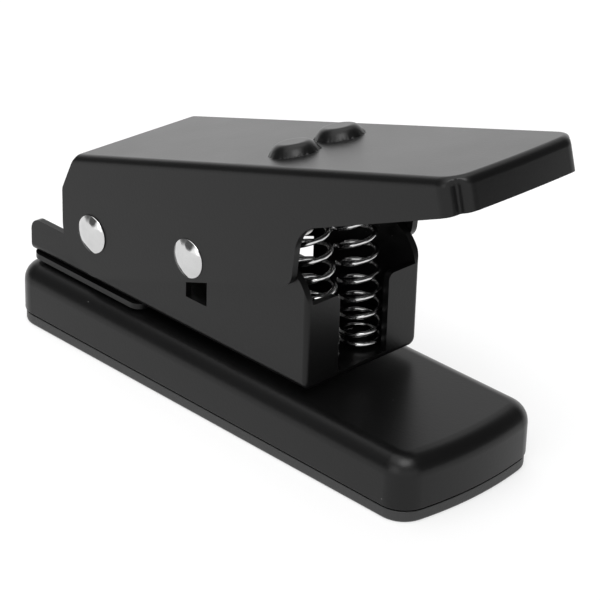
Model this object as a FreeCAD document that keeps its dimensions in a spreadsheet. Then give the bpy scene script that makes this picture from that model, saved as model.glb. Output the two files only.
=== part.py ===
import FreeCAD, Part
import math
import os
import Sketcher

# Single-hole lever punch of pressed steel, in millimetres.
# Origin: centre of the base's underside. +X points to the front end, where the lever is
# pressed. +Z is up and Y runs across. Positions along the base are measured from its rear end.

DOC = FreeCAD.newDocument("hole_punch")

# ---------------------------------------------------------------- driving dimensions
SIZES = [
    # base
    ("base_len", 130.0, "length of the base"),
    ("base_w", 41.6, "width of the base"),
    ("base_corner", 6.5, "corner radius of the base in plan"),
    ("base_bow", 2.5, "how far the front end bows out"),
    ("tray_side", 3.2, "height of the tray's side"),
    ("cover_side", 11.9, "height of the cover"),
    ("cover_edge", 4.6, "radius of the cover's top edge"),
    ("cover_sheet", 1.2, "sheet of the cover"),
    ("seam_bevel", 0.35, "bevel on both edges of the seam"),
    ("tray_inset", 0.3, "tray's side drawn in from the cover's"),
    ("tray_floor", 1.6, "floor of the tray"),
    ("tray_wall", 1.4, "wall of the tray's rim"),
    ("tray_rim", 4.0, "height of the rim that enters the cover"),
    ("tray_gap", 0.15, "clearance of the rim in the cover"),
    ("tray_edge", 0.8, "radius of the tray's bottom edge"),
    # plates and fasteners
    ("plate_sheet", 2.0, "backing plate"),
    ("plate_rear", 5.0, "rear end of the backing plate"),
    ("plate_len", 66.0, "length of the backing plate"),
    ("plate_w", 30.0, "width of the backing plate"),
    ("stop_sheet", 2.1, "thickness of the spacer plate, the height of the paper throat"),
    ("stop_rear", 2.4, "rear end of the spacer plate"),
    ("stop_front", 41.2, "paper stop edge"),
    ("stop_w", 34.6, "width of the spacer plate"),
    ("stop_corner", 3.0, "corner radius of the spacer plate"),
    ("stop_lip", 1.3, "thickness of the spacer plate's overhanging rim"),
    ("stop_step", 1.2, "how far the rim overhangs the plate's foot"),
    ("screw_d", 4.0, "mounting screw"),
    ("screw_head_d", 7.6, "head of the mounting screw"),
    ("screw_head_tall", 2.2, "height of the screw head"),
    ("screw_slot_w", 1.0, "driver slot width"),
    ("screw_slot_deep", 1.1, "driver slot depth"),
    ("screw_end", 1.0, "screw standing out of its nut"),
    ("screw_rear", 10.5, "rear pair of screws"),
    ("screw_front", 35.0, "front pair of screws"),
    ("screw_y", 8.5, "screws from the middle plane"),
    ("screw_clear", 0.2, "radial clearance of the screw holes"),
    ("washer_d", 9.0, "washer"),
    ("washer_sheet", 0.8, "washer thickness"),
    ("nut_flats", 7.0, "nut across flats"),
    ("nut_tall", 3.2, "height of the nut"),
    # frame
    ("frame_w", 34.0, "width over the frame's sides"),
    ("frame_sheet", 1.6, "sheet of the frame"),
    ("frame_bend", 2.0, "outer radius of the floor bends"),
    ("frame_rear", 2.4, "rear end of the tail"),
    ("frame_front", 95.0, "front face of the flanges"),
    ("tail_tall", 8.6, "height of the tail"),
    ("tail_edge", 3.0, "radius of the tail's rear corner"),
    ("side_rear", 20.0, "where the sides rise behind the pivot"),
    ("side_rear_tall", 21.0, "height of the sides at the rear"),
    ("side_tall", 28.4, "height of the sides at the front"),
    ("side_slope_end", 80.0, "where the sides reach their full height"),
    ("side_lean", 2.2, "how far the sides' front edge leans back above the flanges"),
    ("side_round", 10.0, "radius of the sides' front top corner"),
    ("flange_bend", 1.2, "outside radius of the front flange bends"),
    ("flange_tall", 20.2, "height of the front flanges"),
    ("flange_gap", 14.8, "gap between the front flanges"),
    ("flange_round", 1.6, "radius of the flange corners"),
    # pivot, cross pin and punch
    ("pivot_x", 27.0, "lever pivot from the rear end of the base"),
    ("pivot_z", 30.7, "height of the lever pivot"),
    ("pin_d", 5.0, "shank of both rivets"),
    ("pin_x", 59.6, "cross pin at rest, from the rear end of the base"),
    ("pin_z", 36.5, "height of the cross pin at rest"),
    ("pin_clear", 0.05, "radial clearance of a turning shank"),
    ("head_d", 9.1, "rivet head"),
    ("head_tall", 1.4, "height of the rivet head"),
    ("head_rim", 0.45, "straight rim of the rivet head"),
    ("head_gap", 0.1, "gap between the pivot rivet's head and the lever"),
    ("sleeve_d", 9.0, "sleeves on the rivets"),
    ("sleeve_gap", 0.2, "end play of a sleeve"),
    ("travel_deg", 14.0, "travel of the lever"),
    ("window_gap", 0.3, "clearance of the cross pin in the windows"),
    ("window_front", 0.7, "extra room in front of the cross pin in the windows"),
    ("punch_d", 6.0, "punch"),
    ("punch_land", 0.6, "flat left at the rim of the punch tip"),
    ("punch_vee_deep", 0.8, "depth of the vee in the tip"),
    ("punch_tip", 0.9, "punch tip above the underside of the frame floor"),
    ("punch_slide", 0.05, "radial clearance of the punch in guide and die"),
    ("holder_d", 14.0, "punch holder"),
    ("holder_over", 3.6, "holder above the cross slot"),
    ("holder_under", 3.4, "holder below the cross slot"),
    ("slot_play", 0.12, "play of the cross pin in the slot, along the base"),
    ("guide_d", 11.0, "punch guide"),
    ("guide_flange_d", 15.0, "flange of the punch guide"),
    ("guide_flange", 1.4, "thickness of the guide flange"),
    ("guide_gap", 0.5, "guide below the holder at full stroke"),
    ("roll_pin_d", 1.6, "roll pin"),
    ("roll_pin_short", 0.5, "roll pin inside the holder at each end"),
    ("die_d", 12.0, "die bush"),
    ("die_flange_d", 16.0, "flange of the die bush"),
    ("die_flange", 1.2, "flange thickness of the die bush"),
    ("die_land", 2.0, "straight length of the die bore"),
    ("die_relief", 0.6, "extra radius of the die below the land"),
    # lever
    ("lever_tilt", 16.0, "slope of the lever's top at rest"),
    ("lever_side_gap", 0.25, "clearance between lever and frame sides"),
    ("lever_sheet", 1.6, "sheet of the lever"),
    ("lever_over", 18.26, "top of the lever above the pivot"),
    ("lever_reach", 118.8, "front of the lever from the pivot"),
    ("lever_bend", 2.0, "outer radius of the lever's bends"),
    ("lever_corner", 6.0, "front corner radius in plan"),
    ("lever_bow", 1.0, "how far the front lip bows out"),
    ("eye_round", 10.6, "radius of the lever side round the pivot"),
    ("heel_tall", 7.9, "upright rear edge above the pivot"),
    ("heel_round", 3.0, "radius of the two rear corners"),
    ("top_back", 1.2, "top's rear edge behind the pivot, along the lever"),
    ("deep_end", 65.1, "front end of the deep part from the pivot"),
    ("deep_low", 7.2, "lower edge of the deep part under the pivot level"),
    ("deep_lean", 5.2, "how far the deep part's front edge leans forward"),
    ("deep_round", 4.0, "radius at the lower front corner"),
    ("throat_round", 9.0, "radius where the deep part meets the front part"),
    ("front_deep_rear", 12.8, "depth of the front part at its rear"),
    ("front_deep_tip", 7.2, "depth of the front part at the lip"),
    ("notch_w", 3.0, "relief notch beside the lip"),
    ("notch_tall", 2.6, "height of the relief notch"),
    # springs and domes
    ("spring_y", 6.7, "springs from the middle plane"),
    ("spring_x", 87.7, "foot of the springs"),
    ("spring_d", 10.0, "outside diameter of the springs"),
    ("wire_d", 1.2, "spring wire"),
    ("spring_pitch", 4.0, "pitch of the springs"),
    ("seat_d", 6.0, "peg in the spring's foot"),
    ("seat_bevel", 0.7, "bevel of the peg"),
    ("peg_spigot_d", 3.0, "spigot of the peg in the floor"),
    ("spring_foot_gap", 1.0, "coil axis above the floor and below the lever, as the spring leans"),
    ("seat_tall", 2.0, "height of the peg"),
    ("dome_x", 59.6, "domes from the pivot, along the lever"),
    ("dome_d", 11.0, "dome at its foot"),
    ("dome_round", 1.4, "radius of the dome's shoulder"),
    ("dome_crown", 7.2, "flat crown of the dome"),
    ("dome_tall", 2.3, "height of the dome"),
    ("dome_pocket_d", 8.8, "pocket under the dome"),
    ("dome_pocket_crown", 8.7, "flat roof of the pocket"),
]

SHEET = DOC.addObject("Spreadsheet::Sheet", "Sizes")
for row, (alias, value, note) in enumerate(SIZES, 1):
    SHEET.set(f"A{row}", note)
    SHEET.set(f"B{row}", str(value))
    SHEET.setAlias(f"B{row}", alias)
DOC.recompute()


class Size:
    """A number together with the sheet expression it comes from."""

    def __init__(self, value, text=None):
        self.value = float(value)
        self.text = text or repr(float(value))

    def _with(self, other, sign, value):
        return Size(value, f"({self.text} {sign} {other.text})")

    def __add__(self, other):
        other = as_size(other)
        return self._with(other, "+", self.value + other.value)

    def __sub__(self, other):
        other = as_size(other)
        return self._with(other, "-", self.value - other.value)

    def __mul__(self, other):
        other = as_size(other)
        return self._with(other, "*", self.value * other.value)

    def __truediv__(self, other):
        other = as_size(other)
        return self._with(other, "/", self.value / other.value)

    def __neg__(self):
        return Size(-self.value, f"(0 - {self.text})")

    __radd__ = __add__
    __rmul__ = __mul__


def as_size(number):
    return number if isinstance(number, Size) else Size(number)


D = {alias: Size(SHEET.get(alias), f"Sizes.{alias}") for alias, _, _ in SIZES}


def sin(angle):
    return Size(math.sin(math.radians(angle.value)), f"sin({angle.text} * 1 deg)")


def cos(angle):
    return Size(math.cos(math.radians(angle.value)), f"cos({angle.text} * 1 deg)")


def square(number):
    return number * number


def root(number):
    return Size(math.sqrt(number.value), f"sqrt({number.text})")


def bind(thing, name, size):
    thing.setExpression(name, as_size(size).text)


# ---------------------------------------------------------------- building helpers
def new_body(label, x=None, y=0, z=0, tilt=None):
    """A body whose placement is bound to the sheet; x is measured from the rear end of the base."""
    body = DOC.addObject("PartDesign::Body", label)
    body.Label = label
    bind(body, "Placement.Base.x", as_size(0 if x is None else x) - D["base_len"] / 2)
    bind(body, "Placement.Base.y", y)
    bind(body, "Placement.Base.z", z)
    if tilt is not None:
        body.Placement.Rotation = FreeCAD.Rotation(FreeCAD.Vector(0, -1, 0), tilt.value)
        bind(body, "Placement.Rotation.Angle", tilt)
    return body


def new_sketch(body, name, role, offset=0):
    """A sketch on one of the body's own origin planes, moved along the plane's normal."""
    sketch = body.newObject("Sketcher::SketchObject", name)
    plane = [feature for feature in body.Origin.OriginFeatures if feature.Role == role][0]
    sketch.AttachmentSupport = [(plane, "")]
    sketch.MapMode = "FlatFace"
    bind(sketch, "AttachmentOffset.Base.z", offset)
    return sketch


def pin_point(sketch, index, end, point):
    """Ties one end of a sketch element to the sheet by its two coordinates."""
    for kind, size in zip(("DistanceX", "DistanceY"), point):
        number = sketch.addConstraint(Sketcher.Constraint(kind, -1, 1, index, end, size.value))
        bind(sketch, f"Constraints[{number}]", size)


def flat(point):
    return FreeCAD.Vector(point[0].value, point[1].value, 0)


def add_outline(sketch, points, rounds=None):
    """A closed counter-clockwise outline; rounds gives the radius of each side that is an outward arc."""
    rounds = rounds or {}
    points = [(as_size(across), as_size(up)) for across, up in points]
    ends = points[1:] + points[:1]
    first = sketch.GeometryCount
    for index, (point, after) in enumerate(zip(points, ends)):
        start, end = flat(point), flat(after)
        if index in rounds:
            radius = as_size(rounds[index])
            chord = end - start
            sagitta = radius.value - math.sqrt(radius.value ** 2 - chord.Length ** 2 / 4)
            outward = FreeCAD.Vector(chord.y, -chord.x, 0).normalize()
            middle = (start + end) / 2 + outward * sagitta
            sketch.addGeometry(Part.Arc(start, middle, end), False)
            number = sketch.addConstraint(Sketcher.Constraint("Radius", first + index, radius.value))
            bind(sketch, f"Constraints[{number}]", radius)
        else:
            sketch.addGeometry(Part.LineSegment(start, end), False)
        pin_point(sketch, first + index, 1, point)
        pin_point(sketch, first + index, 2, after)


def add_circle(sketch, x, y, diameter):
    x, y, radius = as_size(x), as_size(y), as_size(diameter) / 2
    centre = FreeCAD.Vector(x.value, y.value, 0)
    index = sketch.addGeometry(Part.Circle(centre, FreeCAD.Vector(0, 0, 1), radius.value), False)
    pin_point(sketch, index, 3, (x, y))
    number = sketch.addConstraint(Sketcher.Constraint("Radius", index, radius.value))
    bind(sketch, f"Constraints[{number}]", radius)


def rectangle(x0, y0, x1, y1):
    return [(x0, y0), (x1, y0), (x1, y1), (x0, y1)]


def pad(body, sketch, length, both_ways=False, reverse=False):
    feature = body.newObject("PartDesign::Pad", sketch.Name + "_pad")
    feature.Profile = sketch
    bind(feature, "Length", length)
    feature.Midplane = both_ways
    feature.Reversed = reverse
    DOC.recompute()
    return feature


def cut(body, sketch, length, both_ways=False, reverse=False):
    """A pocket that must take material away."""
    before = body.Shape.Volume
    feature = body.newObject("PartDesign::Pocket", sketch.Name + "_cut")
    feature.Profile = sketch
    bind(feature, "Length", length)
    feature.Midplane = both_ways
    feature.Reversed = reverse
    DOC.recompute()
    if body.Shape.Volume > before - 1e-3:
        raise RuntimeError(f"{body.Label}: {feature.Name} cuts nothing")
    return feature


def turn(body, sketch, take_away=False):
    """A full turn about the sketch's vertical axis, added or taken away."""
    before = body.Shape.Volume if take_away else 0
    kind = "PartDesign::Groove" if take_away else "PartDesign::Revolution"
    feature = body.newObject(kind, sketch.Name + "_turn")
    feature.Profile = sketch
    feature.ReferenceAxis = (sketch, ["V_Axis"])
    feature.Angle = 360
    DOC.recompute()
    if take_away and body.Shape.Volume > before - 1e-3:
        raise RuntimeError(f"{body.Label}: {feature.Name} cuts nothing")
    return feature


def near(number, size, reach=0.02):
    return abs(number - as_size(size).value) < reach


def runs_along(edge, x, y, z):
    """True for a straight edge that runs in the given direction."""
    if len(edge.Vertexes) != 2:
        return False
    chord = edge.Vertexes[1].Point - edge.Vertexes[0].Point
    share = abs(chord.dot(FreeCAD.Vector(x, y, z)))
    return share > 0.01 and near(share, edge.Length, 1e-5)


def level_at(edge, z):
    """True for an edge that lies at one height."""
    return near(edge.BoundBox.ZMin, z) and near(edge.BoundBox.ZMax, z)


def passes(edge, x, z):
    """True for an edge across the body that meets the middle plane at x, z."""
    middle = edge.valueAt((edge.FirstParameter + edge.LastParameter) / 2)
    return runs_along(edge, 0, 1, 0) and near(middle.x, x, 0.05) and near(middle.z, z, 0.05)


def dress(body, name, size, test, kind="PartDesign::Fillet"):
    """Rounds or bevels the edges that pass the test."""
    base = body.Tip
    names = [f"Edge{number}" for number, edge in enumerate(base.Shape.Edges, 1) if test(edge)]
    if not names:
        raise RuntimeError(f"{body.Label}: {name} finds no edge")
    feature = body.newObject(kind, name)
    feature.Base = (base, names)
    bind(feature, "Radius" if kind.endswith("Fillet") else "Size", size)
    DOC.recompute()
    return feature


def bevel(body, name, size, test):
    return dress(body, name, size, test, "PartDesign::Chamfer")


# ---------------------------------------------------------------- worked-out places
# how far cutting shapes reach past the faces they cut, and the eye's room for its own rounding
PAST = 1
PAST_EYE = 1.5
EYE_BLEND = 0.97
COVER_TOP = D["tray_side"] + D["cover_side"]
FLOOR_Z = COVER_TOP + D["stop_sheet"]
FLOOR_TOP = FLOOR_Z + D["frame_sheet"]
PLATE_Z = COVER_TOP - D["cover_sheet"] - D["plate_sheet"]
LEVER_W = D["frame_w"] + (D["lever_side_gap"] + D["lever_sheet"]) * 2
ARM_X = D["pin_x"] - D["pivot_x"]
ARM_Z = D["pin_z"] - D["pivot_z"]
ARM = root(ARM_X * ARM_X + ARM_Z * ARM_Z)
# the cross pin swings from its rest place through level to full travel
PUNCH_X = D["pivot_x"] + (ARM_X + ARM) / 2
PIN_SWING = ARM - ARM_X
PIN_DROP = ARM_Z - (ARM_Z * cos(D["travel_deg"]) - ARM_X * sin(D["travel_deg"]))
HOLDER_Z = D["pin_z"] - D["pin_d"] / 2 - D["pin_clear"] - D["holder_under"]
GUIDE_TOP = HOLDER_Z - PIN_DROP - D["guide_gap"]
SPRING_R = (D["spring_d"] - D["wire_d"]) / 2


def lever_point(x, z):
    """A point of the base frame seen from the lever: along it and above the pivot."""
    dx = x - D["pivot_x"]
    dz = z - D["pivot_z"]
    return dx * cos(D["lever_tilt"]) + dz * sin(D["lever_tilt"]), \
        dz * cos(D["lever_tilt"]) - dx * sin(D["lever_tilt"])


def base_point(along_lever, over):
    """The opposite: a point given along the lever and above the pivot, in the base frame."""
    x = D["pivot_x"] + along_lever * cos(D["lever_tilt"]) - over * sin(D["lever_tilt"])
    z = D["pivot_z"] + along_lever * sin(D["lever_tilt"]) + over * cos(D["lever_tilt"])
    return x, z


# ---------------------------------------------------------------- base
def bowed_plan(rear, front, half, bow, corner, inset, rear_corner=None):
    """Plan with a bowed front and rounded corners, drawn in by inset; all arcs keep their centres."""
    swing = (square(half) + square(bow)) / (bow * 2)
    centre = front - swing
    corner_y = half - corner
    corner_x = centre + root(square(swing - corner) - square(corner_y))
    share = (swing - inset) / (swing - corner)
    touch = (centre + (corner_x - centre) * share, corner_y * share)
    edge = half - inset
    points = [(corner_x, -edge), (touch[0], -touch[1]), touch, (corner_x, edge)]
    rounds = {0: corner - inset, 1: swing - inset, 2: corner - inset}
    if rear_corner is None:
        points += [(rear, edge), (rear, -edge)]
        return points, rounds
    rear_y = half - rear_corner
    points += [(rear + rear_corner, edge), (rear + inset, rear_y),
               (rear + inset, -rear_y), (rear + rear_corner, -edge)]
    rounds.update({4: rear_corner - inset, 6: rear_corner - inset})
    return points, rounds


def plan_block(body, name, inset, low, tall, take_away=False):
    """Adds or takes away a block with the base's plan, drawn in by inset."""
    sketch = new_sketch(body, name, "XY_Plane", low)
    points, rounds = bowed_plan(Size(0), D["base_len"], D["base_w"] / 2, D["base_bow"],
                                D["base_corner"], inset, D["base_corner"])
    add_outline(sketch, points, rounds)
    if take_away:
        cut(body, sketch, tall, reverse=True)
    else:
        pad(body, sketch, tall)


def screw_places():
    for x in (D["screw_rear"], D["screw_front"]):
        for y in (-D["screw_y"], D["screw_y"]):
            yield x, y


def drill_screw_holes(body, top, deep):
    """Four clearance holes for the mounting screws, drilled downward."""
    sketch = new_sketch(body, body.Label + "_screw_holes", "XY_Plane", top)
    for x, y in screw_places():
        add_circle(sketch, x, y, D["screw_d"] + D["screw_clear"] * 2)
    cut(body, sketch, deep)


def drill(body, name, top, deep, x, diameter):
    """One hole in the middle plane, drilled downward."""
    sketch = new_sketch(body, name, "XY_Plane", top)
    add_circle(sketch, x, 0, diameter)
    cut(body, sketch, deep)


def subtract(label, outer, inner):
    """The sub-part is one body less another."""
    result = DOC.addObject("Part::Cut", label)
    result.Label = label
    result.Base = outer
    result.Tool = inner
    DOC.recompute()
    return result


def base_cover():
    """Deep-drawn cover, open underneath, with holes for the screws and the die."""
    shell = new_body("cover_shell")
    plan_block(shell, "cover_plan", Size(0), D["tray_side"], D["cover_side"])
    dress(shell, "cover_top_edge", D["cover_edge"], lambda edge: level_at(edge, COVER_TOP))
    bevel(shell, "cover_seam", D["seam_bevel"], lambda edge: level_at(edge, D["tray_side"]))
    drill_screw_holes(shell, COVER_TOP, D["cover_side"])
    drill(shell, "cover_die_hole", COVER_TOP, D["cover_side"], PUNCH_X, D["die_d"])
    hollow = new_body("cover_hollow")
    roof = COVER_TOP - D["cover_sheet"]
    plan_block(hollow, "cover_hollow_plan", D["cover_sheet"], D["tray_side"] - PAST,
               roof - D["tray_side"] + PAST)
    dress(hollow, "cover_roof_edge", D["cover_edge"] - D["cover_sheet"],
          lambda edge: level_at(edge, roof))
    return subtract("base_cover", shell, hollow)


def base_tray():
    """Bottom cap that closes the cover and catches the chips; its rim enters the cover."""
    body = new_body("base_tray")
    plan_block(body, "tray_plan", D["tray_inset"], 0, D["tray_side"])
    dress(body, "tray_bottom_edge", D["tray_edge"], lambda edge: level_at(edge, 0))
    bevel(body, "tray_seam", D["seam_bevel"], lambda edge: level_at(edge, D["tray_side"]))
    rim = D["cover_sheet"] + D["tray_gap"]
    plan_block(body, "tray_rim", rim, D["tray_side"], D["tray_rim"])
    plan_block(body, "tray_hollow", rim + D["tray_wall"], D["tray_floor"],
               D["tray_side"] + D["tray_rim"] - D["tray_floor"], True)
    return body


def backing_plate():
    """Plate under the cover that carries the die and the screws of the frame."""
    body = new_body("backing_plate")
    sketch = new_sketch(body, "backing_plan", "XY_Plane", PLATE_Z)
    half = D["plate_w"] / 2
    rear = D["plate_rear"]
    add_outline(sketch, rectangle(rear, -half, rear + D["plate_len"], half))
    pad(body, sketch, D["plate_sheet"])
    drill_screw_holes(body, PLATE_Z + D["plate_sheet"], D["plate_sheet"])
    drill(body, "backing_die_hole", PLATE_Z + D["plate_sheet"], D["plate_sheet"], PUNCH_X, D["die_d"])
    return body


def turned(label, x, profile):
    """A round piece about a vertical axis in the middle plane."""
    body = new_body(label, x)
    sketch = new_sketch(body, label + "_profile", "XZ_Plane")
    add_outline(sketch, profile)
    turn(body, sketch)
    return body


def die_bush():
    """Hardened die ring, flush with the cover, its flange under the backing plate."""
    bore = D["punch_d"] / 2 + D["punch_slide"]
    relief = bore + D["die_relief"]
    neck = D["die_d"] / 2
    flange = D["die_flange_d"] / 2
    low = PLATE_Z - D["die_flange"]
    land = COVER_TOP - D["die_land"]
    return turned("die_bush", PUNCH_X, [
        (bore, land), (relief, land), (relief, low), (flange, low), (flange, PLATE_Z),
        (neck, PLATE_Z), (neck, COVER_TOP), (bore, COVER_TOP)])


def spacer_plate():
    """Plate under the frame; its rim overhangs a smaller foot and its front edge stops the paper."""
    body = new_body("spacer_plate")
    foot = D["stop_sheet"] - D["stop_lip"]
    for name, low, tall, inset in (("spacer_foot", COVER_TOP, foot, D["stop_step"]),
                                   ("spacer_rim", COVER_TOP + foot, D["stop_lip"], Size(0))):
        sketch = new_sketch(body, name, "XY_Plane", low)
        half = D["stop_w"] / 2 - inset
        add_outline(sketch, rectangle(D["stop_rear"] + inset, -half, D["stop_front"] - inset, half))
        pad(body, sketch, tall)
    dress(body, "spacer_corners", D["stop_corner"], lambda edge: runs_along(edge, 0, 0, 1))
    drill_screw_holes(body, FLOOR_Z, D["stop_sheet"])
    return body


# ---------------------------------------------------------------- frame
def frame():
    """U-channel with a low tail, two inward front flanges and a window in each side."""
    body = new_body("frame")
    half = D["frame_w"] / 2
    tail = FLOOR_Z + D["tail_tall"]
    rear_top = FLOOR_Z + D["side_rear_tall"]
    top = FLOOR_Z + D["side_tall"]
    flange = FLOOR_Z + D["flange_tall"]
    side = new_sketch(body, "frame_side", "XZ_Plane")
    add_outline(side, [
        (D["frame_rear"], FLOOR_Z), (D["frame_front"], FLOOR_Z), (D["frame_front"], flange),
        (D["frame_front"] - D["side_lean"], top),
        (D["side_slope_end"], top), (D["side_rear"], rear_top), (D["side_rear"], tail),
        (D["frame_rear"], tail)])
    pad(body, side, D["frame_w"], both_ways=True)
    dress(body, "frame_tail_corner", D["tail_edge"], lambda edge: passes(edge, D["frame_rear"], tail))
    dress(body, "frame_front_corner", D["side_round"],
          lambda edge: passes(edge, D["frame_front"] - D["side_lean"], top))
    dress(body, "frame_bends", D["frame_bend"],
          lambda edge: runs_along(edge, 1, 0, 0) and near(edge.BoundBox.ZMax, FLOOR_Z))
    dress(body, "flange_bends", D["flange_bend"],
          lambda edge: runs_along(edge, 0, 0, 1) and near(edge.BoundBox.XMax, D["frame_front"])
          and near(abs(edge.BoundBox.YMin), half))
    inside = half - D["frame_sheet"]
    channel = new_sketch(body, "frame_channel", "YZ_Plane", D["frame_front"] - D["frame_sheet"])
    add_outline(channel, rectangle(-inside, FLOOR_TOP, inside, top + PAST))
    cut(body, channel, D["frame_front"])
    dress(body, "frame_inner_bends", D["frame_bend"] - D["frame_sheet"],
          lambda edge: runs_along(edge, 1, 0, 0) and near(edge.BoundBox.ZMax, FLOOR_TOP)
          and near(abs(edge.BoundBox.YMin), inside))
    gap = D["flange_gap"] / 2
    front = new_sketch(body, "frame_front_opening", "YZ_Plane", D["frame_front"] + PAST)
    add_outline(front, [
        (-gap, FLOOR_TOP), (gap, FLOOR_TOP), (gap, flange), (inside, flange), (inside, top + PAST),
        (-inside, top + PAST), (-inside, flange), (-gap, flange)])
    cut(body, front, D["frame_sheet"] + PAST)
    dress(body, "flange_corners", D["flange_round"],
          lambda edge: runs_along(edge, 1, 0, 0) and near(edge.BoundBox.ZMax, flange)
          and near(abs(edge.BoundBox.YMin), gap))
    reach = D["pin_d"] / 2 + D["window_gap"]
    window = new_sketch(body, "frame_windows", "XZ_Plane")
    add_outline(window, rectangle(PUNCH_X - PIN_SWING / 2 - reach, D["pin_z"] - PIN_DROP - reach,
                                  PUNCH_X + PIN_SWING / 2 + reach + D["window_front"],
                                  D["pin_z"] + reach))
    cut(body, window, D["frame_w"] + PAST * 2, both_ways=True)
    pivot = new_sketch(body, "frame_pivot_holes", "XZ_Plane")
    add_circle(pivot, D["pivot_x"], D["pivot_z"], D["pin_d"])
    cut(body, pivot, D["frame_w"] + PAST * 2, both_ways=True)
    drill_screw_holes(body, FLOOR_TOP, D["frame_sheet"])
    drill(body, "frame_guide_hole", FLOOR_TOP, D["frame_sheet"], PUNCH_X, D["guide_d"])
    pegs = new_sketch(body, "frame_peg_holes", "XY_Plane", FLOOR_TOP)
    for y in (-D["spring_y"], D["spring_y"]):
        add_circle(pegs, D["spring_x"], y, D["peg_spigot_d"])
    cut(body, pegs, D["frame_sheet"])
    return body


def fastener_group(label, low, tall, add_profile):
    """Four like pieces, one at each mounting screw."""
    body = new_body(label)
    sketch = new_sketch(body, label + "_plan", "XY_Plane", low)
    for x, y in screw_places():
        add_profile(sketch, x, y)
    pad(body, sketch, tall)
    return body


def mounting_screws():
    """Slotted screws that hold frame, spacer, cover and backing plate together."""
    seat = FLOOR_TOP + D["washer_sheet"]
    low = PLATE_Z - D["nut_tall"] - D["screw_end"]
    body = fastener_group("mounting_screws", low, seat - low,
                          lambda sketch, x, y: add_circle(sketch, x, y, D["screw_d"]))
    heads = new_sketch(body, "screw_heads", "XY_Plane", seat)
    for x, y in screw_places():
        add_circle(heads, x, y, D["screw_head_d"])
    pad(body, heads, D["screw_head_tall"])
    top = seat + D["screw_head_tall"]
    slots = new_sketch(body, "screw_slots", "XY_Plane", top)
    for x, y in screw_places():
        add_outline(slots, rectangle(x - D["screw_head_d"], y - D["screw_slot_w"] / 2,
                                     x + D["screw_head_d"], y + D["screw_slot_w"] / 2))
    cut(body, slots, D["screw_slot_deep"])
    return body


def mounting_washers():
    """Washers under the screw heads."""
    def ring(sketch, x, y):
        add_circle(sketch, x, y, D["washer_d"])
        add_circle(sketch, x, y, D["screw_d"])
    return fastener_group("mounting_washers", FLOOR_TOP, D["washer_sheet"], ring)


def mounting_nuts():
    """Hexagon nuts under the backing plate."""
    def hexagon(sketch, x, y):
        corner = D["nut_flats"] / math.sqrt(3)
        points = []
        for step in range(6):
            angle = math.radians(60 * step)
            points.append((x + corner * math.cos(angle), y + corner * math.sin(angle)))
        add_outline(sketch, points)
        add_circle(sketch, x, y, D["screw_d"])
    return fastener_group("mounting_nuts", PLATE_Z - D["nut_tall"], D["nut_tall"], hexagon)


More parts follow.
